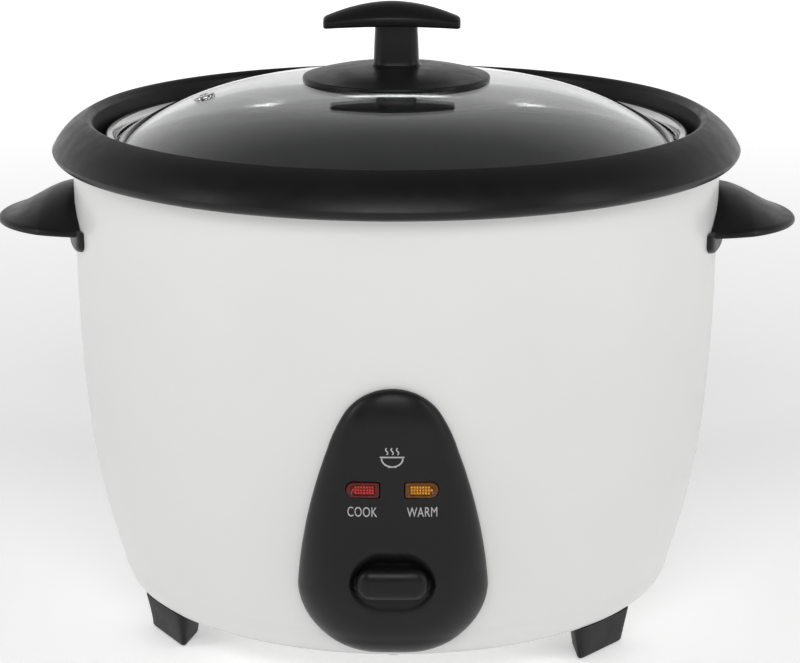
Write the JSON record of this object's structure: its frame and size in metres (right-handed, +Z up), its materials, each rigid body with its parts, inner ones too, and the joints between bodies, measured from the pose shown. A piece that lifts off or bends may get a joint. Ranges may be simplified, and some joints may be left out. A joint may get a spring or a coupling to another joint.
{
  "type": "rice cooker",
  "caption": "Round electric rice cooker with a lift-out pot, glass lid with a bar knob, black rim ring, side handles, and a front panel with two lamps and a cook lever.",
  "frame": {"origin": "centre of the plane that the four feet stand on, on the casing's vertical axis", "axes": "+Z up, -Y towards the control panel, +X towards the right-hand handle"},
  "size_m": [0.328, 0.28, 0.2519],
  "materials": {
    "white_enamel": "gloss white paint on pressed steel",
    "satin_black": "fine moulded satin",
    "foot_black": "moulded satin",
    "spun_aluminium": "spun",
    "cast_aluminium": "cast and turned",
    "nonstick": "dark grey non-stick coating",
    "steel": "zinc plated",
    "screw_steel": "zinc plated",
    "spring_steel": "drawn wire",
    "stainless": "polished stainless",
    "glass": "clear tempered",
    "silicone": "soft",
    "red_lens": "prismatic translucent",
    "amber_lens": "prismatic translucent",
    "lamp_glass": "clear",
    "lamp_plastic": "moulded",
    "phenolic": "moulded",
    "brass": "stamped",
    "porcelain": "unglazed",
    "magnet_dark": "sintered",
    "fuse_metal": "satin"
  },
  "bodies": {
    "housing": {"bottom_cover": "white_enamel", "bracket_screws": "screw_steel", "contact_blades": "brass", "contact_block": "phenolic", "control_panel": "satin_black", "cook_lamp": "lamp_glass", "cook_lens": "red_lens", "cover_screws": "screw_steel", "foot_front_left": "foot_black", "foot_front_right": "foot_black", "foot_rear_left": "foot_black", "foot_rear_right": "foot_black", "foot_screws": "screw_steel", "fuse_clip": "steel", "handle_left": "satin_black", "handle_right": "satin_black", "handle_screws": "screw_steel", "heater_plate": "cast_aluminium", "heating_element": "steel", "inlet_bezel": "satin_black", "inlet_pins": "brass", "inner_liner": "spun_aluminium", "keep_warm_thermostat": "fuse_metal", "lamp_holder": "lamp_plastic", "outer_shell": "white_enamel", "panel_screws": "screw_steel", "pivot_pin": "steel", "plate_posts": "steel", "plate_screws": "screw_steel", "power_inlet": "lamp_plastic", "rating_plate": "spun_aluminium", "rim_ring": "satin_black", "switch_bracket": "steel", "terminal_block": "porcelain", "thermal_fuse": "fuse_metal", "thermostat_cup": "steel", "warm_lamp": "lamp_glass", "warm_lens": "amber_lens"},
    "pot": {"inner_pot": "nonstick"},
    "lid": {"lid_glass": "glass", "lid_rim": "stainless", "steam_vent": "stainless", "knob": "satin_black", "knob_skirt": "satin_black", "lid_washer": "silicone", "lid_screw": "steel"},
    "cook_lever": {"switch_key": "satin_black", "lever_arm": "steel", "lever_spring": "spring_steel"},
    "magnet_carrier": {"magnet": "magnet_dark", "pull_rod": "steel", "magnet_spring": "spring_steel"},
    "heat_sensor": {"sensor_cap": "spun_aluminium", "ferrite": "magnet_dark", "sensor_spring": "spring_steel"}
  },
  "joints": [
    {"name": "pot_lift", "type": "slide", "parent": "housing", "child": "pot", "axis": [0, 0, 1], "range_m": [0, 0.15]},
    {"name": "lid_lift", "type": "slide", "parent": "pot", "child": "lid", "axis": [0, 0, 1], "range_m": [0, 0.1]},
    {"name": "cook_press", "type": "hinge", "parent": "housing", "child": "cook_lever", "pos_m": [0, -0.05, 0.047], "axis": [1, 0, 0], "range_deg": [0, 4], "stiffness_Nm_per_rad": 2, "springref_deg": -2.86, "deforming": ["lever_spring"]},
    {"name": "magnet_lift", "type": "slide", "parent": "housing", "child": "magnet_carrier", "axis": [0, 0, 1], "range_m": [0, 0.0036], "deforming": ["magnet_spring"]},
    {"name": "sensor_rise", "type": "slide", "parent": "housing", "child": "heat_sensor", "axis": [0, 0, 1], "range_m": [0, 0.0031], "deforming": ["sensor_spring"]}
  ],
  "couplings": [
    {"joint": "magnet_lift", "follows": "cook_press", "m_per_rad": 0.05},
    {"joint": "sensor_rise", "follows": "pot_lift", "ratio": 0.02}
  ]
}
